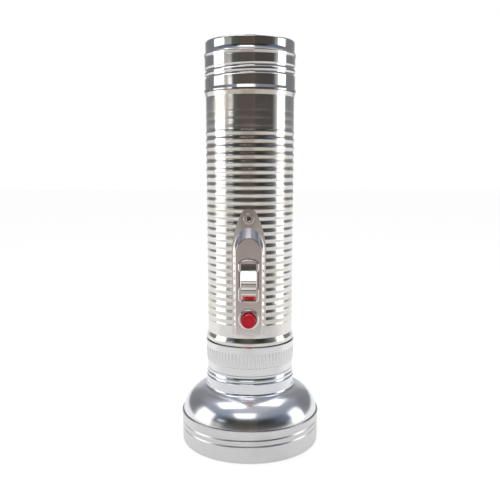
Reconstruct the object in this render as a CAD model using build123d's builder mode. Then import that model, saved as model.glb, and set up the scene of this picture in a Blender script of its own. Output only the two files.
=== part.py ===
from build123d import *
from math import atan2, degrees, radians, sqrt, tan
import os

os.makedirs("parts", exist_ok=True)

# A sheet-metal pocket torch for two D cells, standing on its lens end with its tail cap up.
# Millimetres. Z is the torch's axis, z = 0 is the flat rim of the bezel, and the switch faces -Y.

# ---- driving dimensions: sheet, fits and threads ----
sheet = 0.4                   # wall of the pressed and rolled shells
seat_gap = 0.06               # between pieces that are assembled for good
slide_gap = 0.1               # between flat faces that slide or part
thread_pitch = 2.65
thread_land = 0.85            # plain wall between the turns of a rolled groove
thread_depth = 0.35
thread_gap = 0.25             # play between a ridge and the groove it runs in
thread_wall = 0.32            # sheet left where a thread is rolled
thread_bite = 0.1             # how far a thread's section reaches into or past its wall

# ---- driving dimensions: cells ----
cell_radius = 16.75
cell_length = 61.5
cell_nub_radius = 4.75
cell_nub_height = 2.0
cell_jacket_wall = 0.35
cell_can_wall = 0.4
cell_bottom_inset = 0.5
cell_count = 2

# ---- driving dimensions: liner, contact strip and its insulator ----
liner_gap = 0.15              # round the cells
liner_wall = 0.3
liner_low_height = 3.93       # above the front cell's nose
liner_top_drop = 5.57         # below the rear cell's end
strip_gap = 0.1               # between the liner and the strip
strip_wall = 0.3
strip_half_width = 2.5
strip_lift = 0.2              # of the strip's foot above the holder's plate
strip_foot_gap = 3.0          # between the foot and the fibre disc
strip_reach = 9.3             # of the strip's upper end above the slider's lower end
insulator_wall = 0.14
insulator_half_width = 3.6
insulator_drop = 7.6          # of its lower end below the switch plate's

# ---- driving dimensions: body tube, its radii beyond the ribs' mean radius ----
tube_clearance = 0.635        # round the strip's insulator
rib_pitch = 3.174
rib_rise = 0.135              # crest above the mean radius, and trough below it
rib_first_height = 9.82       # lowest trough above the tube's lower end
rib_plain_band = 7.5          # left plain, at least, between the last rib and the bead
rib_faint_count = 3           # shallow ribs at the tail end
rib_faint_rise = 0.03
tube_gap = 0.25               # between the neck ring and the tube
tube_lip_rise = 0.75
tube_lip_round = 2.5          # radius of the lip's rolled edge
tube_lip_height = 1.25        # of the lip's widest ring
tube_flare_angle = 22.0
tube_flare_height = 3.6
tube_bead_rise = 0.38
tube_bead_slope = 1.7         # height of the slope under the bead
tube_tail_length = 7.03       # past the rear cell

# ---- driving dimensions: tail cap, its radii beyond the ribs' mean radius ----
cap_height = 20.6
cap_headroom = 7.8            # crown above the tube's end
cap_rise = 0.33
cap_crown_rise = 0.03
cap_crown_height = 3.5
cap_corner = 0.7
cap_bead_rise = 0.65
cap_bead_drop = 5.65          # below the crown
cap_bead_foot = 1.85          # height of the slope under the bead
cap_lip_rise = 0.71
cap_lip_height = 1.65
cap_lip_band = 0.55
cap_thread_drop = 11.3        # upper turn of the groove at the front, below the crown
cap_thread_turns = 1.83
tail_thread_turns = 1.95      # of the tube's groove below the cap's upper turn
cap_dish_radius = 9.0
cap_dish_depth = 0.6
cap_dish_slope = 1.0

# ---- driving dimensions: tail spring ----
spring_wire = 0.5             # wire radius
spring_small_radius = 6.0
spring_turns = 4.0
spring_margin = 2.0           # large end inside the clip's rim
clip_inset = 3.08             # clip's rim inside the tube's end
clip_sheet = 0.45
clip_depth = 2.4

# ---- driving dimensions: knurled neck ring and ferrule ----
ring_height = 13.15
ring_rise = 0.43              # plain foot beyond the ribs' mean radius
ring_band_rise = 0.96         # plain band above the knurl
ring_bore_drop = 0.19
ring_spigot_rise = 0.08
ring_spigot_length = 5.55
knurl_count = 72
knurl_rise = 1.03             # crests at the knurl's upper end
knurl_low_rise = 0.68
knurl_root_rise = 0.18
knurl_cutter = 0.62
knurl_top_drop = 3.6          # below the ring's top
knurl_low_height = 4.25       # above the ring's foot
ring_thread_height = 4.65
ring_thread_turns = 1.8
ferrule_low_height = 2.45     # above the ring's foot
ferrule_reach = 7.65          # into the tube
ferrule_wall = 0.3            # under the thread's root

# ---- driving dimensions: bell, its heights from the bezel's top or from the neck's ----
bell_height = 20.25           # neck's top above the bezel
neck_rise = 0.86              # beyond the ribs' mean radius
neck_groove_rise = 0.38
neck_groove_drops = (0.75, 2.85)
neck_crest_rise = 0.80
neck_crest_drop = 1.8
neck_fillet = 1.3
dome_radius = 13.55
dome_inset = 0.31             # dome's widest ring inside the bezel's
dome_centre_drop = 1.89       # below the bezel's top
dome_gap = 0.25               # between the bezel and the dome
skirt_gap = 0.3               # between the skirt and the reflector's flange

# ---- driving dimensions: bezel, lens and gasket ----
bezel_radius = 31.3
bezel_height = 14.6
bezel_lip_rise = 0.22
bezel_lip_height = 1.0
bezel_corner = 0.9
bezel_floor = 0.5
bezel_rim_width = 3.7
bezel_thread_drop = 3.7       # upper turn of the groove at the front, below the bezel's top
bezel_thread_turns = 1.8
lens_gap = 0.58               # round the lens, clear of the rolled ridge
lens_thickness = 2.0
gasket_thickness = 0.8
gasket_width = 2.3

# ---- driving dimensions: reflector and bulb ----
reflector_sheet = 0.4
reflector_gap = 0.05          # flange inside the lens's edge
reflector_flange_width = 2.35
reflector_rim_height = 0.44
reflector_apex_drop = 7.85    # below the neck's top
reflector_hole_radius = 5.9
reflector_neck_length = 0.5
reflector_neck_flange = 8.0
bulb_flange_radius = 6.7
bulb_flange_thickness = 0.6
bulb_base_radius = 4.55
bulb_base_length = 7.44
bulb_tip_radius = 2.0
bulb_tip_length = 0.9
bulb_neck_radius = 4.0
bulb_neck_depth = 1.6
bulb_glass_radius = 5.5
bulb_glass_wall = 0.4
bulb_glass_reach = 7.5        # past the filament
filament_half_length = 2.2
filament_wire = 0.15
support_wire = 0.25
support_reach = 1.5
bead_radius = 1.5
bead_height = 6.0             # above the filament
holder_wall = 0.45
holder_gap = 0.15             # round the bulb's base and flange
holder_lift = 0.5             # plate above the bulb's tip
holder_inset = 1.25           # plate's edge inside the cell's radius
contact_disc_radius = 7.0
contact_disc_thickness = 0.8
contact_head_radius = 3.2
contact_head_thickness = 0.7
contact_stem_radius = 1.5

# ---- driving dimensions: switch cover, heights above its lower end, drops from its tip ----
plate_low_height = 5.25       # above the tube's lower end
plate_length = 54.1
plate_half_width = 7.2
plate_shoulder = 35.4
plate_tip_radius = 3.6
plate_sheet = 0.4
plate_depth = 6.0             # of the shield's curve, from its middle to its edges
box_foot_depth = 1.57         # foot inside the ribs' mean radius
box_half_width = 7.0          # at the foot
box_low = 0.3
box_shoulder = 35.9
box_tip_drop = 4.3
box_tip_radius = 3.4
box_rise = 3.03               # flat top beyond the ribs' mean radius
box_top_half_width = 5.6
box_top_low = 0.9
box_top_shoulder = 35.0
box_top_tip_drop = 11.9
box_top_tip_radius = 4.2
box_sheet = 0.5
box_edge = 0.45
window_half_width = 3.4
window_low = 13.4
window_tip_drop = 14.7
window_bridge = 3.0           # of the insulator, at each end of the window
slot_half_width = 4.1
slot_play = 0.2

# ---- driving dimensions: eyelet ----
eyelet_drop = 4.1             # below the plate's tip
eyelet_radius = 2.25
eyelet_bore = 0.92
eyelet_barrel = 1.35
eyelet_rise = 0.6
eyelet_edge = 0.22

# ---- driving dimensions: slide button, heights above its lower end ----
slide_travel = 5.5
slider_low = 14.6             # above the plate's lower end
slider_length = 18.9
slider_half_width = 4.35
slider_waist_half_width = 3.6
slider_waist_low = 7.4
slider_waist_length = 6.0
slider_waist_blend = 1.3
slider_end_rise = 1.7         # how far the rounded ends bulge
slider_rail_height = 1.9
slider_edge = 0.5
slider_pad_half_width = 3.15
slider_pad_low = 4.0
slider_pad_low_height = 2.3
slider_crest = 10.3
slider_crest_height = 2.9
slider_bars = (5.3, 8.0)
slider_bar_height = 0.4
slider_bar_width = 1.3
slider_ramp_foot = 13.4       # where the thumb ramp turns into the scoop
slider_ramp_height = 1.25
slider_scoop_top = 17.3
slider_scoop_height = 0.3
slider_facet_angle = 36.0
stem_half_width = 2.5
stem_length = 3.4
stem_low = 6.4
pin_radius = 0.7
pin_offset = 1.6
carrier_half_width = 4.4
carrier_length = 10.0
carrier_thickness = 1.5
leaf_sheet = 0.25
leaf_half_width = 1.5
leaf_length = 7.5

# ---- driving dimensions: push button ----
button_height = 7.7           # above the plate's lower end
button_radius = 3.2
button_rise = 5.0             # face above the flat top of the cover
button_taper = 4.0
button_travel = 1.5
button_edge = 0.3
button_dish_radius = 2.25
button_dish_depth = 0.2
button_flange_radius = 4.0
button_flange_thickness = 0.6
collar_radius = 4.5
collar_wall = 0.4
collar_rise = 1.0
collar_edge = 0.75
collar_inner_edge = 0.2
collar_fold = 0.35
signal_half_width = 2.0
signal_half_length = 4.1
signal_sheet = 0.3
signal_stem_radius = 0.9
signal_gap = 0.15             # left to the strip with the button pressed home

# ---- sizes that follow from them: threads ----
thread_width = thread_pitch - thread_land
groove_arc = (thread_width ** 2 / 4 + thread_depth ** 2) / (2 * thread_depth)
groove_centre_rise = groove_arc - thread_depth
ridge_arc = groove_arc + thread_wall
male_arc = ridge_arc + thread_gap

# ---- radii that follow, from the cells outwards ----
liner_radius = cell_radius + liner_gap
strip_radius = liner_radius + liner_wall + strip_gap
insulator_radius = strip_radius + strip_wall + seat_gap
tube_radius = insulator_radius + insulator_wall + tube_clearance + rib_rise + sheet
rib_crest_radius = tube_radius + rib_rise
tube_lip_radius = tube_radius + tube_lip_rise
tube_bead_radius = tube_radius + tube_bead_rise
cap_radius = tube_radius + cap_rise
cap_crown_radius = tube_radius + cap_crown_rise
cap_bead_radius = tube_radius + cap_bead_rise
cap_lip_radius = tube_radius + cap_lip_rise
cap_bore_radius = cap_radius - thread_wall
ring_radius = tube_radius + ring_rise
ring_band_radius = tube_radius + ring_band_rise
ring_bore_radius = tube_radius - ring_bore_drop
ring_spigot_radius = tube_radius + ring_spigot_rise
knurl_radius = tube_radius + knurl_rise
knurl_low_radius = tube_radius + knurl_low_rise
knurl_root_radius = tube_radius + knurl_root_rise
neck_radius = tube_radius + neck_rise
neck_groove_radius = tube_radius + neck_groove_rise
neck_crest_radius = tube_radius + neck_crest_rise
dome_centre_radius = bezel_radius - dome_inset - dome_radius
bezel_bore_radius = bezel_radius - thread_wall
bezel_lip_radius = bezel_radius + bezel_lip_rise
bezel_opening_radius = bezel_radius - bezel_rim_width
lens_radius = bezel_bore_radius - lens_gap
reflector_flange_radius = lens_radius - reflector_gap
reflector_rim_radius = reflector_flange_radius - reflector_flange_width
holder_plate_radius = cell_radius - holder_inset
strip_foot_radius = contact_disc_radius + strip_foot_gap

# ---- heights that follow: head, lens and reflector ----
dome_low_z = bezel_height + dome_gap
dome_centre_z = bezel_height - dome_centre_drop
bezel_thread_front_z = bezel_height - bezel_thread_drop
lens_low_z = bezel_floor + slide_gap + gasket_thickness
flange_low_z = lens_low_z + lens_thickness + slide_gap
skirt_low_z = flange_low_z + reflector_sheet + skirt_gap
neck_top_z = bezel_height + bell_height
neck_groove_z = [neck_top_z - drop for drop in neck_groove_drops]
neck_crest_z = neck_top_z - neck_crest_drop
reflector_apex_z = neck_top_z - reflector_apex_drop
reflector_rim_z = flange_low_z + reflector_rim_height
reflector_focus = reflector_rim_radius ** 2 / (4 * (reflector_apex_z - reflector_rim_z))
reflector_neck_z = reflector_apex_z + reflector_neck_length

# ---- heights that follow: bulb, holder and cells ----
filament_z = reflector_apex_z - reflector_focus
flange_z = reflector_neck_z + seat_gap
bead_z = filament_z + bead_height
bulb_glass_end_z = filament_z - bulb_glass_reach
bulb_base_top_z = flange_z + bulb_base_length
bulb_tip_z = bulb_base_top_z + bulb_tip_length
holder_plate_z = bulb_tip_z + holder_lift
strip_foot_z = holder_plate_z + holder_wall + strip_lift
disc_low_z = holder_plate_z + holder_wall + seat_gap
contact_low_z = disc_low_z + contact_disc_thickness + seat_gap
stack_low_z = contact_low_z + contact_head_thickness + slide_gap
stack_top_z = stack_low_z + cell_count * cell_length
liner_low_z = stack_low_z + liner_low_height
liner_top_z = stack_top_z - liner_top_drop

# ---- heights that follow: neck ring, tube and tail cap ----
ring_low_z = neck_top_z + slide_gap
ring_top_z = ring_low_z + ring_height
ring_spigot_low_z = ring_low_z - ring_spigot_length
ring_thread_low_z = ring_low_z + ring_thread_height
knurl_top_z = ring_top_z - knurl_top_drop
knurl_low_z = ring_low_z + knurl_low_height
ferrule_low_z = ring_low_z + ferrule_low_height
tube_low_z = ring_top_z + tube_gap
tube_flare_z = tube_low_z + tube_flare_height
ferrule_top_z = tube_low_z + ferrule_reach
tube_top_z = stack_top_z + tube_tail_length
cap_top_z = tube_top_z + cap_headroom
cap_low_z = cap_top_z - cap_height
cap_bead_z = cap_top_z - cap_bead_drop
cap_thread_front_z = cap_top_z - cap_thread_drop
tube_bead_z = cap_low_z - slide_gap
rib_first_z = tube_low_z + rib_first_height
rib_count = int((tube_bead_z - rib_plain_band - rib_first_z) / rib_pitch) + 1

# ---- heights that follow: switch ----
plate_low_z = tube_low_z + plate_low_height
plate_shoulder_z = plate_low_z + plate_shoulder
plate_tip_z = plate_low_z + plate_length
box_low_z = plate_low_z + box_low
box_shoulder_z = plate_low_z + box_shoulder
box_tip_z = plate_tip_z - box_tip_drop
box_top_low_z = plate_low_z + box_top_low
box_top_shoulder_z = plate_low_z + box_top_shoulder
box_top_tip_z = plate_tip_z - box_top_tip_drop
box_top_y = tube_radius + box_rise
box_foot_y = tube_radius - box_foot_depth
window_low_z = plate_low_z + window_low
window_top_z = plate_tip_z - window_tip_drop
insulator_low_z = plate_low_z - insulator_drop
insulator_top_z = window_top_z + window_bridge
eyelet_z = plate_tip_z - eyelet_drop
button_z = plate_low_z + button_height
slider_y = box_top_y + slide_gap
slider_low_z = plate_low_z + slider_low
slider_high_z = slider_low_z + slider_length
strip_top_z = slider_low_z + strip_reach
stem_low_z = slider_low_z + stem_low
slot_low_z = stem_low_z - slot_play
slot_high_z = stem_low_z + stem_length + slide_travel + slot_play
front_angle = -90.0           # the switch's direction, about Z


def male_crest(bore_radius):
    """Radius of the male thread that runs in a bore of this radius."""
    return bore_radius - thread_gap


def male_root(bore_radius):
    """Radius at the bottom of the male thread's groove."""
    return bore_radius + groove_centre_rise + thread_wall - male_arc


def start_angle(front_z, low_z):
    """Angle at which a groove that is at front_z at the front begins at low_z."""
    return front_angle - 360.0 * (front_z - low_z) / thread_pitch


def half_chord(radius, distance):
    """Half the width of a round section at this distance from its centre."""
    return sqrt(radius ** 2 - distance ** 2)


def helical_bar(bore_radius, arc, back_radius, low_z, turns, angle, mode):
    """A round-nosed bar wound about Z, right-handed, with a flat back at back_radius."""
    centre = bore_radius + groove_centre_rise + thread_wall
    with BuildLine(Plane.XY.offset(low_z), mode=Mode.PRIVATE) as path:
        Helix(thread_pitch, thread_pitch * turns, centre)
    start = path.line @ 0
    outward = Vector(start.X, start.Y, 0).normalized()
    section_plane = Plane(origin=start, x_dir=outward, z_dir=path.line % 0)
    back = back_radius - centre
    half = half_chord(arc, back)
    with BuildSketch(section_plane, mode=Mode.PRIVATE) as section:
        with BuildLine():
            ThreePointArc((back, half), (-arc, 0), (back, -half))
            Line((back, -half), (back, half))
        make_face()
    bar = sweep(section.sketch, path=path.line, is_frenet=True, mode=Mode.PRIVATE)
    add(bar.rotate(Axis.Z, angle), mode=mode)
    return [start.rotate(Axis.Z, angle), (path.line @ 1).rotate(Axis.Z, angle)]


def revolved(points, mode=Mode.ADD):
    """A solid of revolution about Z from (radius, z) corners."""
    with BuildSketch(Plane.XZ) as section:
        with BuildLine():
            Polyline(*points, close=True)
        make_face()
    revolve(section.sketch, axis=Axis.Z, mode=mode)


def ring(outer, inner, low_z, high_z, mode=Mode.ADD):
    """A plain ring, or a disc where inner is 0."""
    with BuildSketch(Plane.XY.offset(low_z)) as section:
        Circle(outer)
        if inner > 0:
            Circle(inner, mode=Mode.SUBTRACT)
    extrude(section.sketch, amount=high_z - low_z, mode=mode)


def arc_strip(radius, wall, half_width, low_z, high_z, mode=Mode.ADD):
    """A strip that lies round the front of the cells, bent to this inner radius."""
    half_angle = degrees(half_width / radius)
    with BuildSketch(Plane.XY.offset(low_z)) as section:
        with BuildLine():
            outer = CenterArc((0, 0), radius + wall, front_angle - half_angle, 2 * half_angle)
            inner = CenterArc((0, 0), radius, front_angle - half_angle, 2 * half_angle)
            Line(outer @ 0, inner @ 0)
            Line(outer @ 1, inner @ 1)
        make_face()
    extrude(section.sketch, amount=high_z - low_z, mode=mode)


def ogive(distance, half_width, low_z, shoulder_z, tip_z, tip_radius):
    """A shield outline facing -Y: flat foot, straight sides and a pointed, rounded arch."""
    tip_centre_z = tip_z - tip_radius
    rise = tip_centre_z - shoulder_z
    side = (half_width ** 2 + rise ** 2 - tip_radius ** 2) / (2 * (half_width - tip_radius))
    turn = degrees(atan2(rise, side - half_width))
    with BuildSketch(Plane.XZ.offset(distance)) as outline:
        with BuildLine():
            right = CenterArc((half_width - side, shoulder_z), side, 0, turn)
            CenterArc((0, tip_centre_z), tip_radius, turn, 180 - 2 * turn)
            left = CenterArc((side - half_width, shoulder_z), side, 180 - turn, turn)
            Polyline(left @ 1, (-half_width, low_z), (half_width, low_z), right @ 0)
        make_face()
    return outline.sketch


def front_disc(radius, z, near, far, mode=Mode.ADD):
    """A disc or hole on an axis along Y, from y = -near out to y = -far."""
    with BuildSketch(Plane.XZ.offset(near)) as section:
        with Locations((0, z)):
            Circle(radius)
    extrude(section.sketch, amount=far - near, mode=mode)


def save(builder, label):
    """Names a finished piece and writes it."""
    builder.part.label = label
    export_step(builder.part, f"parts/{label}.step")


# ---- body tube: rolled sheet with ribs, a flared lip, a stop bead and the tail's male thread ----
def rib_wave(radius):
    """One side of the ribbed wall, as arcs that bulge in and out in turn."""
    low = rib_first_z - rib_pitch / 4
    for index in range(rib_count):
        z = low + index * rib_pitch
        rise = rib_rise if index < rib_count - rib_faint_count else rib_faint_rise
        trough_mid = (radius - rise, z + rib_pitch / 4)
        crest_mid = (radius + rise, z + 3 * rib_pitch / 4)
        ThreePointArc((radius, z), trough_mid, (radius, z + rib_pitch / 2))
        if index < rib_count - 1:
            ThreePointArc((radius, z + rib_pitch / 2), crest_mid, (radius, z + rib_pitch))


rib_low_z = rib_first_z - rib_pitch / 4
rib_high_z = rib_low_z + (rib_count - 0.5) * rib_pitch
tube_bore_radius = tube_radius - sheet
tail_crest = male_crest(cap_bore_radius)
tail_bore = male_root(cap_bore_radius) - ferrule_wall
tail_thread_low_z = cap_thread_front_z - tail_thread_turns * thread_pitch
clip_radius = tail_bore - clip_inset
spring_large_radius = clip_radius - spring_margin

with BuildPart() as body_tube:
    with BuildSketch(Plane.XZ):
        with BuildLine():
            rib_wave(tube_radius)
            Polyline((tube_radius, rib_high_z), (tube_radius, tube_bead_z - 0.3 - tube_bead_slope),
                     (tube_bead_radius - 0.05, tube_bead_z - 0.5))
            ThreePointArc((tube_bead_radius - 0.05, tube_bead_z - 0.5),
                          (tube_bead_radius, tube_bead_z - 0.25),
                          (tube_bead_radius - 0.2, tube_bead_z))
            Polyline((tube_bead_radius - 0.2, tube_bead_z), (tail_crest, tube_bead_z),
                     (tail_crest, tube_top_z), (tail_bore, tube_top_z),
                     (tail_bore, tube_bead_z - 0.1), (tube_bore_radius, tube_bead_z - 1.3),
                     (tube_bore_radius, rib_high_z))
            rib_wave(tube_bore_radius)
            lip = CenterArc((tube_lip_radius - tube_lip_round, tube_low_z + tube_lip_height),
                            tube_lip_round, -tube_flare_angle, 2 * tube_flare_angle)
            Polyline((tube_bore_radius, rib_low_z), (tube_bore_radius, tube_flare_z),
                     (tube_lip_radius - sheet, tube_low_z + tube_lip_height + 0.6),
                     (tube_lip_radius - sheet, tube_low_z + 0.5),
                     (tube_lip_radius - sheet - 0.1, tube_low_z),
                     (tube_lip_radius - 0.3, tube_low_z), lip @ 0)
            Polyline(lip @ 1, (tube_radius, tube_flare_z), (tube_radius, rib_low_z))
        make_face()
    revolve(axis=Axis.Z)
    male_turns = (tube_top_z - tail_thread_low_z) / thread_pitch + 0.6
    male_start = helical_bar(cap_bore_radius, male_arc, tail_crest + thread_bite, tail_thread_low_z,
                             male_turns, start_angle(cap_thread_front_z, tail_thread_low_z),
                             Mode.SUBTRACT)[0]
    with Locations(male_start):
        Sphere(male_arc, mode=Mode.SUBTRACT)
    with BuildSketch(Plane.XZ.offset(tube_bore_radius - 3)):
        with Locations((0, (window_low_z + window_top_z) / 2)):
            Rectangle(2 * window_half_width, window_top_z - window_low_z)
        with Locations((0, button_z)):
            Circle(collar_radius + 0.15)
        with Locations((0, eyelet_z)):
            Circle(eyelet_barrel + seat_gap)
    extrude(amount=6, mode=Mode.SUBTRACT)
save(body_tube, "body_tube")

# ---- neck ferrule: threaded sleeve fixed in the tube's lower end ----
ferrule_crest = male_crest(ring_bore_radius)
ferrule_bore = male_root(ring_bore_radius) - ferrule_wall
ferrule_thread_top_z = ring_thread_low_z + (ring_thread_turns + 0.35) * thread_pitch

with BuildPart() as neck_ferrule:
    ring(min(ferrule_crest, tube_bore_radius - rib_rise - seat_gap), ferrule_bore,
         ferrule_low_z, ferrule_top_z)
    ring(ferrule_crest, ferrule_bore, ferrule_low_z, tube_flare_z)
    low_z = ferrule_low_z - 0.6 * thread_pitch
    angle = start_angle(ring_thread_low_z, low_z)
    ends = helical_bar(ring_bore_radius, male_arc, ferrule_crest + thread_bite, low_z,
                       (ferrule_thread_top_z - low_z) / thread_pitch, angle, Mode.SUBTRACT)
    with Locations(ends[1]):
        Sphere(male_arc, mode=Mode.SUBTRACT)
save(neck_ferrule, "neck_ferrule")

# ---- tail cap: pressed cup with a rolled thread that shows on its outside ----
with BuildPart() as tail_cap:
    corner_z = cap_top_z - cap_corner
    crown_low_z = cap_top_z - cap_crown_height
    corner_radius = cap_crown_radius - cap_corner
    dish_z = cap_top_z - cap_dish_depth
    with BuildSketch(Plane.XZ):
        with BuildLine():
            Polyline((0, dish_z), (cap_dish_radius - cap_dish_slope, dish_z),
                     (cap_dish_radius, cap_top_z), (corner_radius, cap_top_z))
            CenterArc((corner_radius, corner_z), cap_corner, 90, -90)
            Line((cap_crown_radius, corner_z), (cap_crown_radius, crown_low_z))
            ThreePointArc((cap_crown_radius, crown_low_z),
                          (cap_crown_radius + 0.11, crown_low_z - 0.9),
                          (cap_bead_radius - 0.17, cap_bead_z + 0.4))
            ThreePointArc((cap_bead_radius - 0.17, cap_bead_z + 0.4),
                          (cap_bead_radius - 0.03, cap_bead_z + 0.12),
                          (cap_bead_radius - 0.02, cap_bead_z - 0.1))
            ThreePointArc((cap_bead_radius - 0.02, cap_bead_z - 0.1),
                          (cap_bead_radius - 0.2, cap_bead_z - 0.6),
                          (cap_radius, cap_bead_z - cap_bead_foot))
            Polyline((cap_radius, cap_bead_z - cap_bead_foot), (cap_radius, cap_low_z + cap_lip_height),
                     (cap_lip_radius, cap_low_z + cap_lip_band), (cap_lip_radius, cap_low_z),
                     (cap_lip_radius - sheet + 0.05, cap_low_z),
                     (cap_bore_radius, cap_low_z + cap_lip_height),
                     (cap_bore_radius, cap_bead_z - cap_bead_foot),
                     (cap_crown_radius - sheet, crown_low_z), (cap_crown_radius - sheet, corner_z))
            CenterArc((corner_radius, corner_z), cap_corner - sheet, 0, 90)
            Polyline((corner_radius, cap_top_z - sheet), (cap_dish_radius, cap_top_z - sheet),
                     (cap_dish_radius - cap_dish_slope, dish_z - sheet), (0, dish_z - sheet),
                     (0, dish_z))
        make_face()
    revolve(axis=Axis.Z)
    low_z = cap_thread_front_z - thread_pitch * (cap_thread_turns + 1) / 2
    angle = start_angle(cap_thread_front_z, low_z)
    helical_bar(cap_bore_radius, ridge_arc, cap_bore_radius + thread_bite, low_z, cap_thread_turns, angle,
                Mode.ADD)
    ends = helical_bar(cap_bore_radius, groove_arc, cap_radius + thread_bite, low_z, cap_thread_turns, angle,
                       Mode.SUBTRACT)
    with Locations(*ends):
        Sphere(groove_arc, mode=Mode.SUBTRACT)
save(tail_cap, "tail_cap")

# ---- tail spring: conical coil between the cap and the rear cell ----
spring_low_z = stack_top_z + slide_gap + spring_wire
clip_top_z = dish_z - sheet - slide_gap
spring_high_z = clip_top_z - clip_sheet - slide_gap - spring_wire
with BuildPart() as tail_spring:
    spring_height = spring_high_z - spring_low_z
    cone = degrees(atan2(spring_large_radius - spring_small_radius, spring_height))
    with BuildLine(Plane.XY.offset(spring_low_z)) as spring_path:
        Helix(spring_height / spring_turns, spring_height, spring_small_radius, cone_angle=cone)
    with BuildSketch(Plane(origin=spring_path.line @ 0, z_dir=spring_path.line % 0)):
        Circle(spring_wire)
    sweep(path=spring_path.line, is_frenet=True)
save(tail_spring, "tail_spring")

# ---- spring clip: disc under the crown with a rolled edge that keeps the coil central ----
with BuildPart() as spring_clip:
    ring(clip_radius, 0, clip_top_z - clip_sheet, clip_top_z)
    ring(clip_radius, clip_radius - clip_sheet, clip_top_z - clip_depth, clip_top_z)
save(spring_clip, "spring_clip")

# ---- dry cells: steel can and its filling, paper jacket and positive cap, nose down ----
for cell_index, cell_name in enumerate(("front_cell", "rear_cell")[:cell_count]):
    nose_z = stack_low_z + cell_index * cell_length
    can_low_z = nose_z + cell_nub_height
    can_high_z = nose_z + cell_length - seat_gap / 2
    can_radius = cell_radius - cell_jacket_wall - seat_gap
    shoulder_z = can_low_z + 0.8
    bottom_z = can_high_z - cell_bottom_inset
    with BuildPart() as cell_can:
        ring(can_radius, 0, shoulder_z, bottom_z)
        ring(cell_radius - 3, 0, bottom_z, can_high_z)
        ring(can_radius - cell_can_wall, 0, shoulder_z, bottom_z - cell_can_wall, Mode.SUBTRACT)
    save(cell_can, cell_name + "_can")
    with BuildPart() as cell_mix:
        ring(can_radius - cell_can_wall - seat_gap, 0, shoulder_z, bottom_z - cell_can_wall - seat_gap)
    save(cell_mix, cell_name + "_mix")
    with BuildPart() as cell_jacket:
        ring(cell_radius, cell_radius - cell_jacket_wall, can_low_z, can_high_z - 0.2)
        ring(cell_radius - cell_jacket_wall, cell_radius - 1.6, can_low_z, can_low_z + 0.7)
    save(cell_jacket, cell_name + "_jacket")
    with BuildPart() as cell_nub:
        ring(cell_radius - 2, 0, can_low_z + 0.2, can_low_z + 0.75)
        ring(cell_nub_radius, 0, nose_z + seat_gap / 2, can_low_z + 0.2)
        rim = cell_nub.edges().filter_by(GeomType.CIRCLE).group_by(Axis.Z)[0]
        fillet(rim, radius=0.6)
    save(cell_nub, cell_name + "_nub")

# ---- liner: card tube that keeps the cells off the metal ----
with BuildPart() as cell_liner:
    ring(liner_radius + liner_wall, liner_radius, liner_low_z, liner_top_z)
save(cell_liner, "cell_liner")

# ---- contact strip and its fibre insulator, along the front of the liner ----
with BuildPart() as contact_strip:
    arc_strip(strip_radius, strip_wall, strip_half_width, strip_foot_z, strip_top_z)
    with BuildSketch(Plane.XY.offset(strip_foot_z)):
        with Locations((0, -(strip_radius + strip_foot_radius) / 2)):
            Rectangle(1.6 * strip_half_width, strip_radius - strip_foot_radius)
    extrude(amount=strip_wall)
save(contact_strip, "contact_strip")

with BuildPart() as strip_insulator:
    arc_strip(insulator_radius, insulator_wall, insulator_half_width, insulator_low_z,
              insulator_top_z)
    with BuildSketch(Plane.XZ.offset(insulator_radius - 2)):
        with Locations((0, button_z)):
            Rectangle(2 * signal_half_width + 1, 2 * signal_half_length + 1.4)
        with Locations((0, (window_low_z + window_top_z) / 2)):
            Rectangle(2 * leaf_half_width + 1, window_top_z - window_low_z - 2 * window_bridge)
    extrude(amount=4, mode=Mode.SUBTRACT)
save(strip_insulator, "strip_insulator")

# ---- switch cover: pressed shield with a raised, flat-topped box ----
plate_radius = rib_crest_radius + seat_gap

with BuildPart() as cover_plate:
    shield = ogive(plate_radius - plate_depth, plate_half_width, plate_low_z, plate_shoulder_z,
                   plate_tip_z, plate_tip_radius)
    extrude(shield, amount=2 * plate_depth)
    ring(plate_radius + plate_sheet, 0, plate_low_z - 1, plate_tip_z + 1, Mode.INTERSECT)

with BuildPart() as cover_hollow:
    foot = ogive(box_foot_y, box_half_width - box_sheet, box_low_z + box_sheet, box_shoulder_z,
                 box_tip_z - box_sheet, box_tip_radius - box_sheet)
    top = ogive(box_top_y - box_sheet, box_top_half_width - box_sheet, box_top_low_z + box_sheet,
                box_top_shoulder_z, box_top_tip_z - box_sheet, box_top_tip_radius - box_sheet)
    loft([foot, top], ruled=True)

with BuildPart() as switch_cover:
    foot = ogive(box_foot_y, box_half_width, box_low_z, box_shoulder_z, box_tip_z, box_tip_radius)
    top = ogive(box_top_y, box_top_half_width, box_top_low_z, box_top_shoulder_z, box_top_tip_z,
                box_top_tip_radius)
    loft([foot, top], ruled=True)
    fillet(switch_cover.faces().sort_by(Axis.Y)[0].edges(), radius=box_edge)
    add(cover_plate.part)
    add(cover_hollow.part, mode=Mode.SUBTRACT)
    ring(plate_radius, 0, plate_low_z - 1, plate_tip_z + 1, Mode.SUBTRACT)
    with BuildSketch(Plane.XZ.offset(box_top_y - 2)):
        with Locations((0, (slot_low_z + slot_high_z) / 2)):
            Rectangle(2 * slot_half_width, slot_high_z - slot_low_z)
        with Locations((0, button_z)):
            Circle(button_radius + slide_gap + collar_wall + seat_gap)
    extrude(amount=4, mode=Mode.SUBTRACT)
    front_disc(eyelet_barrel + seat_gap, eyelet_z, plate_radius - 2, plate_radius + 2, Mode.SUBTRACT)
save(switch_cover, "switch_cover")

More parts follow.
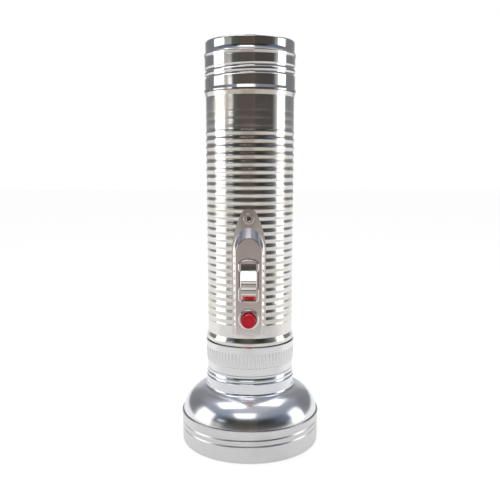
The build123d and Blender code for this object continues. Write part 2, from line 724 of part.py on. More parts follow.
# ---- eyelet: tubular rivet at the cover's tip ----
with BuildPart() as switch_eyelet:
    face_y = rib_crest_radius + seat_gap + plate_sheet + 0.02
    front_disc(eyelet_radius, eyelet_z, face_y, face_y + eyelet_rise)
    rim = switch_eyelet.edges().filter_by(GeomType.CIRCLE).sort_by(Axis.Y)[0:1]
    fillet(rim, radius=eyelet_edge)
    front_disc(eyelet_barrel, eyelet_z, insulator_radius + insulator_wall + 0.1, face_y)
    front_disc(eyelet_bore, eyelet_z, insulator_radius - 1, face_y + 2, Mode.SUBTRACT)
    face_edges = switch_eyelet.edges().filter_by(GeomType.CIRCLE).group_by(Axis.Y)[0]
    chamfer(face_edges.sort_by(SortBy.RADIUS)[0], length=eyelet_edge / 2)
save(switch_eyelet, "switch_eyelet")


# ---- slide button: waisted metal thumb piece with a scoop, two grip bars and sloping ends ----
def slider_outline():
    """The button's plan: rounded ends, a narrow waist between tapers."""
    waist_low = slider_low_z + slider_waist_low
    waist_high = waist_low + slider_waist_length
    low = slider_low_z + slider_end_rise
    high = slider_high_z - slider_end_rise
    side = [(slider_half_width, low), (slider_half_width, waist_low - slider_waist_blend),
            (slider_waist_half_width, waist_low), (slider_waist_half_width, waist_high),
            (slider_half_width, waist_high + slider_waist_blend), (slider_half_width, high)]
    mirrored = [(-x, z) for x, z in side]
    with BuildLine() as outline:
        Polyline(*side)
        Polyline(*mirrored)
        ThreePointArc(side[-1], (0, slider_high_z), mirrored[-1])
        ThreePointArc(side[0], (0, slider_low_z), mirrored[0])
    make_face(outline.edges())


def side_profile(points):
    """A face in the YZ plane from (z, height above the cover) corners."""
    with BuildLine() as outline:
        Polyline(*[(-slider_y - height, z) for z, height in points], close=True)
    make_face(outline.edges())


with BuildPart() as slide_button:
    with BuildSketch(Plane.XZ.offset(slider_y)):
        slider_outline()
    extrude(amount=slider_rail_height)
    crown = slide_button.faces().sort_by(Axis.Y)[0].edges()
    fillet(crown, radius=slider_edge)
    pad_z = slider_low_z + slider_pad_low
    crest_z = slider_low_z + slider_crest
    pad_slope = (slider_crest_height - slider_pad_low_height) / (slider_crest - slider_pad_low)
    hump = [(pad_z, 0.4), (crest_z + 2, 0.4), (crest_z + 2, slider_crest_height - 1),
            (crest_z, slider_crest_height)]
    for bar in reversed(slider_bars):
        half = slider_bar_width / 2
        face = slider_pad_low_height + pad_slope * (bar - slider_pad_low)
        for reach in (half, -half):
            foot_reach = reach + (0.12 if reach > 0 else -0.12)
            corners = [(slider_low_z + bar + foot_reach, face - slider_bar_height),
                       (slider_low_z + bar + reach, face)]
            hump += corners if reach > 0 else reversed(corners)
    hump[4:4] = [(crest_z - 0.5, slider_crest_height),
                 (crest_z - 0.6, slider_crest_height - slider_bar_height)]
    hump.append((pad_z, slider_pad_low_height - slider_bar_height))
    with BuildSketch(Plane.YZ):
        side_profile(hump)
    extrude(amount=slider_pad_half_width, both=True)
    ramp_z = slider_low_z + slider_ramp_foot
    scoop_z = slider_low_z + slider_scoop_top
    with BuildSketch(Plane.YZ):
        with BuildLine():
            foot = (-slider_y - slider_ramp_height, ramp_z)
            floor = (-slider_y - slider_scoop_height, scoop_z)
            ramp = Line((-slider_y - slider_crest_height, crest_z), foot)
            TangentArc(foot, floor, tangent=ramp % 1)
            Polyline(floor, (floor[0] - 4, scoop_z), (floor[0] - 4, crest_z),
                     (-slider_y - slider_crest_height, crest_z))
        make_face()
    extrude(amount=slider_pad_half_width, both=True, mode=Mode.SUBTRACT)
    facet_drop = slider_pad_low_height / tan(radians(slider_facet_angle))
    with BuildSketch(Plane.YZ):
        side_profile([(pad_z - facet_drop, 0), (pad_z, slider_pad_low_height),
                      (pad_z, slider_crest_height + 1), (slider_low_z - 1, slider_crest_height + 1),
                      (slider_low_z - 1, 0.5), (pad_z - facet_drop, 0.5)])
    extrude(amount=slider_pad_half_width, both=True, mode=Mode.SUBTRACT)
    stem_z = stem_low_z + stem_length / 2
    with BuildSketch(Plane.XZ.offset(box_top_y - box_sheet + seat_gap)):
        with Locations((0, stem_z)):
            Rectangle(2 * stem_half_width, stem_length)
    extrude(amount=slider_y - box_top_y + box_sheet)
    carrier_y = box_top_y - box_sheet - slide_gap
    with BuildSketch(Plane.XZ.offset(carrier_y - carrier_thickness)):
        with Locations((-pin_offset, stem_z), (pin_offset, stem_z)):
            Circle(pin_radius)
    extrude(amount=carrier_thickness + 0.3)
save(slide_button, "slide_button")

# ---- slide carrier: moulded block under the cover, riveted to the slide button ----
with BuildPart() as slide_carrier:
    with BuildSketch(Plane.XZ.offset(carrier_y - carrier_thickness)):
        with Locations((0, stem_z)):
            RectangleRounded(2 * carrier_half_width, carrier_length, 1.0)
        with Locations((-pin_offset, stem_z), (pin_offset, stem_z)):
            Circle(pin_radius + seat_gap, mode=Mode.SUBTRACT)
    extrude(amount=carrier_thickness)
save(slide_carrier, "slide_carrier")

# ---- slide contact: bronze leaf under the carrier, bent down to the strip ----
with BuildPart() as slide_contact:
    top_y = -(carrier_y - carrier_thickness - seat_gap)
    bump_y = -(strip_radius + strip_wall + signal_gap)
    high_z = stem_z + leaf_length / 2
    low_z = stem_z - leaf_length / 2
    with BuildSketch(Plane.YZ):
        with BuildLine():
            Polyline((top_y, low_z + 1.2), (top_y, high_z), (top_y + leaf_sheet, high_z),
                     (top_y + leaf_sheet, high_z - 1.5), (bump_y, low_z + 1.6), (bump_y, low_z + 0.9),
                     (bump_y - 0.5, low_z), (bump_y - 0.5 - leaf_sheet, low_z + 0.15),
                     (bump_y - leaf_sheet, low_z + 1.05), (bump_y - leaf_sheet, low_z + 1.4),
                     (top_y + leaf_sheet, high_z - 2.2), (top_y + leaf_sheet, low_z + 1.2),
                     close=True)
        make_face()
    extrude(amount=leaf_half_width, both=True)
save(slide_contact, "slide_contact")

# ---- push button: translucent red cap with an inner flange ----
with BuildPart() as push_button:
    flange_top_y = box_top_y - box_sheet - collar_fold - seat_gap - 2 * slide_gap
    flange_low_y = flange_top_y - button_flange_thickness
    front_disc(button_radius, button_z, flange_low_y, box_top_y)
    with BuildSketch(Plane.XZ.offset(box_top_y)):
        with Locations((0, button_z)):
            Circle(button_radius)
    extrude(amount=button_rise, taper=button_taper)
    rim = push_button.edges().filter_by(GeomType.CIRCLE).sort_by(Axis.Y)[0:1]
    fillet(rim, radius=button_edge)
    face_y = box_top_y + button_rise
    front_disc(button_dish_radius, button_z, face_y - button_dish_depth, face_y + 1, Mode.SUBTRACT)
    front_disc(button_flange_radius, button_z, flange_low_y, flange_top_y)
save(push_button, "push_button")

# ---- push button collar: bright ferrule swaged into the cover ----
with BuildPart() as push_button_collar:
    collar_bore = button_radius + slide_gap
    fold_y = box_top_y - box_sheet - seat_gap
    front_disc(collar_radius, button_z, box_top_y + 0.02, box_top_y + collar_rise)
    rim = push_button_collar.edges().filter_by(GeomType.CIRCLE).sort_by(Axis.Y)[0:1]
    fillet(rim, radius=collar_edge)
    front_disc(collar_bore + collar_wall, button_z, fold_y - collar_fold, box_top_y + 0.1)
    front_disc(collar_bore + 2 * collar_wall, button_z, fold_y - collar_fold, fold_y)
    front_disc(collar_bore, button_z, box_top_y - 3, box_top_y + 3, Mode.SUBTRACT)
    face_edges = push_button_collar.edges().filter_by(GeomType.CIRCLE).group_by(Axis.Y)[0]
    fillet(face_edges.sort_by(SortBy.RADIUS)[0], radius=collar_inner_edge)
save(push_button_collar, "push_button_collar")

# ---- signal contact: bronze plate on the button's stem, which meets the strip when pressed ----
with BuildPart() as signal_contact:
    signal_y = strip_radius + strip_wall + signal_gap + button_travel
    with BuildSketch(Plane.XZ.offset(signal_y)):
        with Locations((0, button_z)):
            RectangleRounded(2 * signal_half_width, 2 * signal_half_length, 0.8)
    extrude(amount=signal_sheet)
    front_disc(signal_stem_radius, button_z, signal_y + signal_sheet, flange_low_y - 0.02)
save(signal_contact, "signal_contact")

# ---- knurled ring: the head's collar, screwed on the ferrule ----
with BuildPart() as knurled_ring:
    with BuildSketch(Plane.XZ):
        with BuildLine():
            Polyline((ring_bore_radius, ring_spigot_low_z), (ring_bore_radius, ring_top_z),
                     (ring_band_radius - 0.2, ring_top_z), (ring_band_radius, ring_top_z - 0.25),
                     (knurl_radius, knurl_top_z), (knurl_low_radius, knurl_low_z),
                     (ring_radius, knurl_low_z - 0.7), (ring_radius, ring_low_z + 0.15),
                     (ring_radius - 0.15, ring_low_z), (ring_spigot_radius, ring_low_z),
                     (ring_spigot_radius, ring_spigot_low_z), (ring_bore_radius, ring_spigot_low_z))
        make_face()
    revolve(axis=Axis.Z)
    with PolarLocations(knurl_root_radius + knurl_cutter, knurl_count):
        with Locations((0, 0, (knurl_low_z + knurl_top_z) / 2 - 0.4)):
            Cylinder(knurl_cutter, knurl_top_z - knurl_low_z + 0.8, mode=Mode.SUBTRACT)
        with Locations((0, 0, knurl_top_z)):
            Sphere(knurl_cutter, mode=Mode.SUBTRACT)
    helical_bar(ring_bore_radius, ridge_arc, ring_bore_radius + thread_bite, ring_thread_low_z,
                ring_thread_turns, start_angle(ring_thread_low_z, ring_thread_low_z), Mode.ADD)
save(knurled_ring, "knurled_ring")

# ---- bell: pressed dome with a grooved neck, and a skirt with the bezel's male thread ----
with BuildPart() as bell:
    fillet_centre_r = neck_radius + neck_fillet
    fillet_centre_z = dome_centre_z + sqrt((dome_radius + neck_fillet) ** 2
                                           - (fillet_centre_r - dome_centre_radius) ** 2)
    turn = atan2(fillet_centre_z - dome_centre_z, fillet_centre_r - dome_centre_radius)
    dome_low_turn = atan2(dome_low_z - dome_centre_z,
                          half_chord(dome_radius, dome_low_z - dome_centre_z))
    skirt_crest = male_crest(bezel_bore_radius)
    skirt_bore = male_root(bezel_bore_radius) - ferrule_wall
    neck_bore = ring_spigot_radius + seat_gap
    with BuildSketch(Plane.XZ):
        with BuildLine():
            dome = CenterArc((dome_centre_radius, dome_centre_z), dome_radius,
                             degrees(dome_low_turn), degrees(turn - dome_low_turn))
            CenterArc((fillet_centre_r, fillet_centre_z), neck_fillet, 180, degrees(turn))
            Line((neck_radius, fillet_centre_z), (neck_radius, neck_groove_z[1] - 0.9))
            ThreePointArc((neck_radius, neck_groove_z[1] - 0.9), (neck_groove_radius, neck_groove_z[1]),
                          (neck_crest_radius, neck_crest_z))
            ThreePointArc((neck_crest_radius, neck_crest_z), (neck_groove_radius, neck_groove_z[0]),
                          (ring_radius, neck_top_z))
            Polyline((ring_radius, neck_top_z), (neck_bore, neck_top_z),
                     (neck_bore, fillet_centre_z + 0.6))
            inner_low = dome_low_z - 0.6
            inner = CenterArc((dome_centre_radius, dome_centre_z), dome_radius - sheet,
                              degrees(dome_low_turn), 88 - degrees(dome_low_turn))
            Line((neck_bore, fillet_centre_z + 0.6), inner @ 1)
            Polyline(inner @ 0, (skirt_bore, inner_low - 0.8), (skirt_bore, skirt_low_z),
                     (skirt_crest, skirt_low_z), (skirt_crest, inner_low), dome @ 0)
        make_face()
    revolve(axis=Axis.Z)
    low_z = skirt_low_z - 0.6 * thread_pitch
    top_z = bezel_thread_front_z + 0.75 * thread_pitch
    ends = helical_bar(bezel_bore_radius, male_arc, skirt_crest + thread_bite, low_z,
                       (top_z - low_z) / thread_pitch, start_angle(bezel_thread_front_z, low_z),
                       Mode.SUBTRACT)
    with Locations(ends[1]):
        Sphere(male_arc, mode=Mode.SUBTRACT)
save(bell, "bell")

# ---- bezel: rolled ring that holds the lens, and the rim that the torch stands on ----
with BuildPart() as bezel_ring:
    with BuildSketch(Plane.XZ):
        with BuildLine():
            Polyline((bezel_opening_radius, 0), (bezel_radius - bezel_corner, 0))
            CenterArc((bezel_radius - bezel_corner, bezel_corner), bezel_corner, -90, 90)
            Polyline((bezel_radius, bezel_corner), (bezel_radius, bezel_height - bezel_lip_height - 0.6),
                     (bezel_lip_radius, bezel_height - bezel_lip_height + 0.2),
                     (bezel_lip_radius, bezel_height - 0.2), (bezel_lip_radius - 0.2, bezel_height),
                     (bezel_bore_radius, bezel_height), (bezel_bore_radius, bezel_floor),
                     (bezel_opening_radius, bezel_floor), (bezel_opening_radius, 0))
        make_face()
    revolve(axis=Axis.Z)
    low_z = bezel_thread_front_z - thread_pitch * (bezel_thread_turns + 1) / 2
    angle = start_angle(bezel_thread_front_z, low_z)
    helical_bar(bezel_bore_radius, ridge_arc, bezel_bore_radius + thread_bite, low_z, bezel_thread_turns,
                angle, Mode.ADD)
    ends = helical_bar(bezel_bore_radius, groove_arc, bezel_radius + thread_bite, low_z, bezel_thread_turns,
                       angle, Mode.SUBTRACT)
    with Locations(*ends):
        Sphere(groove_arc, mode=Mode.SUBTRACT)
save(bezel_ring, "bezel_ring")

# ---- lens and its gasket ----
with BuildPart() as lens:
    ring(lens_radius, 0, lens_low_z, lens_low_z + lens_thickness)
    fillet(lens.edges().filter_by(GeomType.CIRCLE), radius=0.3)
save(lens, "lens")

with BuildPart() as lens_gasket:
    ring(lens_radius, lens_radius - gasket_width, bezel_floor + slide_gap, lens_low_z - 0.02)
save(lens_gasket, "lens_gasket")


# ---- reflector: bright pressed paraboloid with a rim flange and a neck for the bulb ----
def bowl_point(radius, depth):
    """Point of the bowl at this radius, moved back along its normal by this depth."""
    slope = radius / (2 * reflector_focus)
    reach = depth / sqrt(1 + slope ** 2)
    return radius + slope * reach, reflector_apex_z - radius * slope / 2 + reach


with BuildPart() as reflector:
    radii = [reflector_hole_radius + (reflector_rim_radius - reflector_hole_radius) * i / 6
             for i in range(7)]
    bowl = [bowl_point(radius, 0) for radius in radii]
    back = [bowl_point(radius, reflector_sheet) for radius in reversed(radii)]
    with BuildSketch(Plane.XZ):
        with BuildLine():
            Spline(*bowl)
            Polyline(bowl[-1], (reflector_rim_radius, flange_low_z),
                     (reflector_flange_radius, flange_low_z),
                     (reflector_flange_radius, flange_low_z + reflector_sheet),
                     (reflector_rim_radius + 0.7, flange_low_z + reflector_sheet), back[0])
            Spline(*back)
            Polyline(back[-1], (reflector_hole_radius + reflector_sheet, reflector_neck_z - 0.4),
                     (reflector_neck_flange, reflector_neck_z - 0.4),
                     (reflector_neck_flange, reflector_neck_z),
                     (reflector_hole_radius, reflector_neck_z), bowl[0])
        make_face()
    revolve(axis=Axis.Z)
save(reflector, "reflector")

# ---- bulb: flanged brass base, glass envelope, filament on two wires in a glass bead ----
with BuildPart() as bulb_base:
    revolved([(bulb_base_radius - 0.3, flange_z), (bulb_flange_radius, flange_z),
              (bulb_flange_radius, flange_z + bulb_flange_thickness),
              (bulb_base_radius, flange_z + bulb_flange_thickness),
              (bulb_base_radius, bulb_base_top_z - 0.8), (bulb_tip_radius + 1, bulb_base_top_z),
              (bulb_tip_radius, bulb_base_top_z), (bulb_tip_radius - 0.5, bulb_tip_z),
              (0, bulb_tip_z), (0, flange_z + bulb_neck_depth),
              (bulb_base_radius - 0.3, flange_z + bulb_neck_depth)])
save(bulb_base, "bulb_base")

with BuildPart() as bulb_glass:
    globe_z = bulb_glass_end_z + bulb_glass_radius
    neck_z = flange_z + bulb_neck_depth - seat_gap
    blend_z = globe_z + 4.5
    inner_globe = bulb_glass_radius - bulb_glass_wall
    inner_neck = bulb_neck_radius - bulb_glass_wall
    with BuildSketch(Plane.XZ):
        with BuildLine():
            CenterArc((0, globe_z), bulb_glass_radius, -90, 90)
            Polyline((bulb_glass_radius, globe_z), (bulb_neck_radius, blend_z),
                     (bulb_neck_radius, neck_z), (inner_neck, neck_z), (inner_neck, blend_z),
                     (inner_globe, globe_z))
            CenterArc((0, globe_z), inner_globe, 0, -90)
            Line((0, globe_z - inner_globe), (0, globe_z - bulb_glass_radius))
        make_face()
    revolve(axis=Axis.Z)
save(bulb_glass, "bulb_glass")

with BuildPart() as bulb_filament:
    with Locations((0, 0, bead_z)):
        Sphere(bead_radius)
    support_top_z = flange_z + bulb_neck_depth - 0.02
    with BuildSketch(Plane.XY.offset(filament_z)):
        with Locations((-support_reach, 0), (support_reach, 0)):
            Circle(support_wire)
    extrude(amount=support_top_z - filament_z)
    with Locations((0, 0, filament_z)):
        Cylinder(filament_wire, 2 * filament_half_length, rotation=(0, 90, 0))
save(bulb_filament, "bulb_filament")

# ---- bulb holder: sleeve over the base, with the plate that the contact strip presses on ----
with BuildPart() as bulb_holder:
    sleeve = bulb_base_radius + holder_gap
    cup = bulb_flange_radius + holder_gap
    roof_z = flange_z + bulb_flange_thickness + seat_gap
    revolved([(cup, flange_z), (cup + holder_wall, flange_z), (cup + holder_wall, roof_z + holder_wall),
              (sleeve + holder_wall, roof_z + holder_wall), (sleeve + holder_wall, holder_plate_z),
              (holder_plate_radius, holder_plate_z), (holder_plate_radius, holder_plate_z + holder_wall),
              (sleeve, holder_plate_z + holder_wall), (sleeve, roof_z), (cup, roof_z)])
save(bulb_holder, "bulb_holder")

# ---- centre contact and the fibre disc that insulates it ----
with BuildPart() as contact_insulator:
    ring(contact_disc_radius, contact_stem_radius + seat_gap, disc_low_z,
         disc_low_z + contact_disc_thickness)
save(contact_insulator, "contact_insulator")

with BuildPart() as centre_contact:
    ring(contact_head_radius, 0, contact_low_z, contact_low_z + contact_head_thickness)
    ring(contact_stem_radius, 0, bulb_tip_z + seat_gap, contact_low_z)
save(centre_contact, "centre_contact")
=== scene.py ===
# %% [markdown]
# # A ribbed sheet-metal torch, dressed in its finishes
# The real torch is rolled and pressed sheet: a ribbed tube with a screw cap on its tail, a knurled
# ring and a domed bell at its head, and a screw bezel that it stands on. Every shape comes from the
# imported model, which is loaded here as a fixed frame. What is left to do is what light does on bare
# metal, so this lesson is about bright metal: what it mirrors, how rough it is and how it has aged.

from math import pi, radians

import bpy
from mathutils import Matrix, Vector


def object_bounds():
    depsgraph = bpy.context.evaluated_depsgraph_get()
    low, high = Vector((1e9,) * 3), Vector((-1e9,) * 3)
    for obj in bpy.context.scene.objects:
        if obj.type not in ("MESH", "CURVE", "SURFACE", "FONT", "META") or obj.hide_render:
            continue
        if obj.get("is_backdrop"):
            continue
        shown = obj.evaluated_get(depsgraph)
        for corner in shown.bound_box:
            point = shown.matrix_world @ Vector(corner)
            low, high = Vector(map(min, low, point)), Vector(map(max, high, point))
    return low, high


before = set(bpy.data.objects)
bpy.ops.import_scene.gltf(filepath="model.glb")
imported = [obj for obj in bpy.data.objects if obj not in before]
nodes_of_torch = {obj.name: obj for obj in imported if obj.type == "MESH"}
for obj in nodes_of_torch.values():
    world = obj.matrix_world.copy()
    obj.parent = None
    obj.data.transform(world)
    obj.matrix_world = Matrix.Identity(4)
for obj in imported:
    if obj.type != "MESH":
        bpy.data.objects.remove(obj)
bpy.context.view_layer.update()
bpy.ops.object.select_all(action="DESELECT")
scene = bpy.context.scene
print("pieces in the frame:", len(nodes_of_torch))

# %% [markdown]
# ## The camera
# A short lens close to the torch makes the head look wide and the cap narrow, as the eye sees a
# thing on a table. The camera could be aimed with a Track To constraint, but a plain tilt and a
# small vertical shift repeat the photograph's framing with nothing hidden.

# %% Camera
camera_distance = 0.2877
camera_height = 0.1256
camera_tilt = radians(10.57)
camera_turn = radians(1.4)
camera_lens = 46.48
camera_sensor = 36
camera_shift = 0.0706


def studio(right, away, height):
    """A place given from the camera's side: to its right, away from it past the torch, and up."""
    return Matrix.Rotation(camera_turn, 4, "Z") @ Vector((right, away, height))


bpy.ops.object.camera_add(location=studio(0, -camera_distance, camera_height),
                          rotation=(pi / 2 - camera_tilt, 0, camera_turn))
camera = bpy.context.object
camera.data.lens = camera_lens
camera.data.sensor_width = camera_sensor
camera.data.shift_y = camera_shift
camera.data.clip_start = 0.01
scene.camera = camera
scene.view_settings.view_transform = "Standard"
view_width = camera_distance * camera_sensor / camera_lens
print("width of view at the torch, mm:", round(1000 * view_width, 1))

# %% [markdown]
# ## Node helpers
# Each finish below is a small tree of nodes. Two helpers keep the code short: one makes a node and
# sets its inputs, and one joins two sockets. They stand for clicks in the Shader Editor.


# %% Node helpers
def add_node(tree, kind, settings=None, **inputs):
    """Makes a node, sets its own settings and its inputs, and links inputs that are sockets."""
    node = tree.nodes.new(kind)
    for key, value in (settings or {}).items():
        setattr(node, key, value)
    for key, value in inputs.items():
        socket = node.inputs[key.replace("_", " ")]
        if isinstance(value, bpy.types.NodeSocket):
            tree.links.new(value, socket)
        else:
            socket.default_value = value
    return node


def math_node(tree, operation, first, second=0.0, third=0.0):
    """One Math node; each operand is a number or a socket. Returns its value socket."""
    node = tree.nodes.new("ShaderNodeMath")
    node.operation = operation
    for socket, value in zip(node.inputs, (first, second, third)):
        if isinstance(value, bpy.types.NodeSocket):
            tree.links.new(value, socket)
        else:
            socket.default_value = value
    return node.outputs[0]


def map_range(tree, value, low, high, to_low=0.0, to_high=1.0, smooth=True):
    """A Map Range node from low..high to to_low..to_high."""
    node = tree.nodes.new("ShaderNodeMapRange")
    node.interpolation_type = "SMOOTHSTEP" if smooth else "LINEAR"
    tree.links.new(value, node.inputs["Value"])
    for name, number in (("From Min", low), ("From Max", high), ("To Min", to_low), ("To Max", to_high)):
        node.inputs[name].default_value = number
    return node.outputs["Result"]


def mix_colour(tree, factor, first, second, blend="MIX"):
    """A Mix Color node; colours and the factor are values or sockets."""
    node = tree.nodes.new("ShaderNodeMix")
    node.data_type = "RGBA"
    node.blend_type = blend
    for index, value in ((0, factor), (6, first), (7, second)):
        if isinstance(value, bpy.types.NodeSocket):
            tree.links.new(value, node.inputs[index])
        else:
            node.inputs[index].default_value = value if index == 0 else (*value[:3], 1)
    return node.outputs[2]


# %% [markdown]
# ## The room
# Bright metal has no look of its own: it shows the room. The room round this torch is dark where
# the camera stands, pale below the table's edge, and grey to white at the sides and behind. It could
# be built from walls and curtains. A world whose colour depends on direction does the same with no
# mesh and no noise. Directions are in degrees: turn 0 is towards the camera, plus is to its right,
# and rise is the height above the horizon.

# %% Directions of the room
world = bpy.data.worlds.new("room")
scene.world = world
world.use_nodes = True
tree = world.node_tree
tree.nodes.clear()


def band(tree, value, low, high, soft):
    """A mask that is 1 from low to high and fades over soft on each side."""
    rise = map_range(tree, value, low - soft / 2, low + soft / 2)
    fall = map_range(tree, value, high - soft / 2, high + soft / 2, 1.0, 0.0)
    return math_node(tree, "MULTIPLY", rise, fall)


direction = add_node(tree, "ShaderNodeTexCoord").outputs["Generated"]
turned = add_node(tree, "ShaderNodeVectorRotate", {"rotation_type": "Z_AXIS"}, Vector=direction,
                  Angle=-camera_turn)
axes = add_node(tree, "ShaderNodeSeparateXYZ", Vector=turned.outputs[0])
towards = math_node(tree, "MULTIPLY", axes.outputs["Y"], -1.0)
turn = math_node(tree, "MULTIPLY", math_node(tree, "ARCTAN2", axes.outputs["X"], towards), 180 / pi)
rise = math_node(tree, "MULTIPLY", math_node(tree, "ARCSINE", axes.outputs["Z"]), 180 / pi)
away = math_node(tree, "ABSOLUTE", turn)
print("nodes that find the direction:", len(tree.nodes))

# %% [markdown]
# ## The front half of the room
# What stands before the torch fills the dark middle of its tube. It could be one grey, but the real
# room has a green, a brown and a pale strip, a panel at the left and a bright end at the right, so
# each is a band of turns. Low down the table's edge takes over, and high up the ceiling's haze does.

# %% Front half of the room
front_dark = (0.068, 0.062, 0.058)
front_brown = (0.098, 0.078, 0.066)
front_green = (0.088, 0.096, 0.086)
front_line = (0.15, 0.12, 0.10)
front_right = (0.70, 0.70, 0.72)
front_panel = (0.50, 0.48, 0.45)
front_panel_low = (0.24, 0.22, 0.22)
front_mid = (0.022, 0.026, 0.024)
front_mid_left = (0.060, 0.060, 0.044)
front_mid_sides = (0.13, 0.165, 0.22)
front_high = (0.30, 0.32, 0.38)
front_low = (0.58, 0.55, 0.50)
front_low_brown = (0.45, 0.39, 0.36)

# Each band of turns has its start, its end and the softness of its edges, all in degrees.
green_turns = (-58, -28, 8)
brown_turns = (-26, 10, 6)
line_turns = (9, 11, 1.5)
panel_turns = (-75, -47, 2)
mid_left_turns = (-30, 14, 14)
low_brown_turns = (-24, 12, 10)

# Each fade has the angles where it starts and ends.
right_fade = (58, 80)
mid_side_fade = (34, 66)
low_fade = (-8, -1)
panel_fade = (-3, 3)
level_fade = (8, 15)
mid_fade = (9, 20)
high_fade = (30, 46)

front = mix_colour(tree, band(tree, turn, *green_turns), front_dark, front_green)
front = mix_colour(tree, band(tree, turn, *brown_turns), front, front_brown)
front = mix_colour(tree, band(tree, turn, *line_turns), front, front_line)
level = map_range(tree, rise, *level_fade, 1, 0)
falloff = math_node(tree, "MULTIPLY", map_range(tree, turn, *right_fade), level)
front = mix_colour(tree, falloff, front, front_right)
panel = mix_colour(tree, map_range(tree, rise, *panel_fade), front_panel_low, front_panel)
panel_mask = math_node(tree, "MULTIPLY", band(tree, turn, *panel_turns), level)
front = mix_colour(tree, panel_mask, front, panel)
mid = mix_colour(tree, band(tree, turn, *mid_left_turns), front_mid, front_mid_left)
mid = mix_colour(tree, map_range(tree, away, *mid_side_fade), mid, front_mid_sides)
front = mix_colour(tree, map_range(tree, rise, *mid_fade), front, mid)
front = mix_colour(tree, map_range(tree, rise, *high_fade), front, front_high)
low = mix_colour(tree, band(tree, turn, *low_brown_turns), front_low, front_low_brown)
front = mix_colour(tree, map_range(tree, rise, *low_fade), low, front)
print("nodes with the front half:", len(tree.nodes))

# %% [markdown]
# ## The back half of the room
# At its edges the tube mirrors what is behind it. That is grey beside the boxes and paler towards
# the outline, where a round metal thing melts into its white background. The dome looks higher up,
# so the tones change with the rise too.

# %% Back half of the room
back_side = (0.20, 0.205, 0.22)
back_side_high = (0.33, 0.34, 0.38)
back_mid = (0.25, 0.25, 0.26)
back_edge = (0.62, 0.62, 0.63)
back_edge_high = (0.34, 0.345, 0.36)
back_low = (0.48, 0.48, 0.49)
ceiling = (0.47, 0.46, 0.50)

back_high_fade = (28, 44)
back_mid_fade = (124, 148)
edge_high_fade = (12, 22)
edge_fade = (150, 162)
back_low_fade = (-2, 6)
halves_fade = (88, 100)
ceiling_fade = (52, 68)

side = mix_colour(tree, map_range(tree, rise, *back_high_fade), back_side, back_side_high)
back = mix_colour(tree, map_range(tree, away, *back_mid_fade), side, back_mid)
edge = mix_colour(tree, map_range(tree, rise, *edge_high_fade), back_edge, back_edge_high)
back = mix_colour(tree, map_range(tree, away, *edge_fade), back, edge)
back = mix_colour(tree, map_range(tree, rise, *back_low_fade), back_low, back)
room = mix_colour(tree, map_range(tree, away, *halves_fade), front, back)
room = mix_colour(tree, map_range(tree, rise, *ceiling_fade), room, ceiling)
print("nodes with the back half:", len(tree.nodes))

# %% [markdown]
# ## Who sees the room
# Only reflections see the tones above. The camera, and light that has passed through glass, see
# plain white, and diffuse light gets one even pale grey, so that painted things keep their colours.

# %% Who sees the room
rays = add_node(tree, "ShaderNodeLightPath")
room_diffuse = 0.75
seen = math_node(tree, "MAXIMUM", rays.outputs["Is Camera Ray"], rays.outputs["Is Transmission Ray"])
lit = mix_colour(tree, rays.outputs["Is Glossy Ray"], (room_diffuse,) * 3, room)
shown = mix_colour(tree, seen, lit, (1, 1, 1))
background = add_node(tree, "ShaderNodeBackground", Color=shown, Strength=1.0)
add_node(tree, "ShaderNodeOutputWorld", Surface=background.outputs[0])
print("world nodes:", len(tree.nodes))

# %% [markdown]
# ## The floor
# The torch stands on a white table. Its glow carries the white background down to the torch's
# foot, and the rest of it is real diffuse white, so that the torch keeps a faint shadow. In the
# metal its glow is greyer in front of the torch, a painted shade, and paler behind it, a painted light
# from the boxes, and it ends a quarter of a metre in front.

# %% Floor
table_front = -0.24
table_back = 3.0
table_side = 3.0
table_glow = 0.66
table_white = 1.14            # as the camera sees it
# Painted shade and light: the floor's glow in the metal is darker in front of the torch and brighter
# behind it.
table_mirrored_painted_shade = 0.66         # as the metal shows it in front of the torch
table_behind_painted_light = 0.93           # and behind it, where the boxes' light runs on
table_turnover = 0.05         # half the depth over which one becomes the other
table_paint = (0.9, 0.9, 0.9, 1)

bpy.ops.mesh.primitive_plane_add(size=2, location=(0, 0, 0))
floor = bpy.context.object
floor.name = "table"
for vertex in floor.data.vertices:
    vertex.co.x *= table_side
    vertex.co.y = table_front if vertex.co.y < 0 else table_back
floor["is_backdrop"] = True

white_table = bpy.data.materials.new("white table")
white_table.use_nodes = True
tree = white_table.node_tree
tree.nodes.clear()
rays = add_node(tree, "ShaderNodeLightPath")
seen = math_node(tree, "MAXIMUM", rays.outputs["Is Camera Ray"], rays.outputs["Is Glossy Ray"])
seen = math_node(tree, "MAXIMUM", seen, rays.outputs["Is Transmission Ray"])
share = math_node(tree, "MULTIPLY", seen, table_glow)
paint = add_node(tree, "ShaderNodeBsdfDiffuse", Color=table_paint)
place = add_node(tree, "ShaderNodeTexCoord").outputs["Object"]
depth = add_node(tree, "ShaderNodeSeparateXYZ", Vector=place).outputs["Y"]
# Painted light and shade on the floor as the metal mirrors it, changing from front to back.
mirrored_painted_light = map_range(tree, depth, -table_turnover, table_turnover, table_mirrored_painted_shade, table_behind_painted_light)
glossy = rays.outputs["Is Glossy Ray"]
direct = math_node(tree, "SUBTRACT", 1.0, glossy)
in_metal = math_node(tree, "MULTIPLY", glossy, mirrored_painted_light)
strength = math_node(tree, "MULTIPLY_ADD", direct, table_white, in_metal)
glow = add_node(tree, "ShaderNodeEmission", Color=(1, 1, 1, 1), Strength=strength)
surface = add_node(tree, "ShaderNodeMixShader", Fac=share)
tree.links.new(paint.outputs[0], surface.inputs[1])
tree.links.new(glow.outputs[0], surface.inputs[2])
add_node(tree, "ShaderNodeOutputMaterial", Surface=surface.outputs[0])
floor.data.materials.append(white_table)
print("table, m:", 2 * table_side, "wide, from", table_front, "to", table_back)

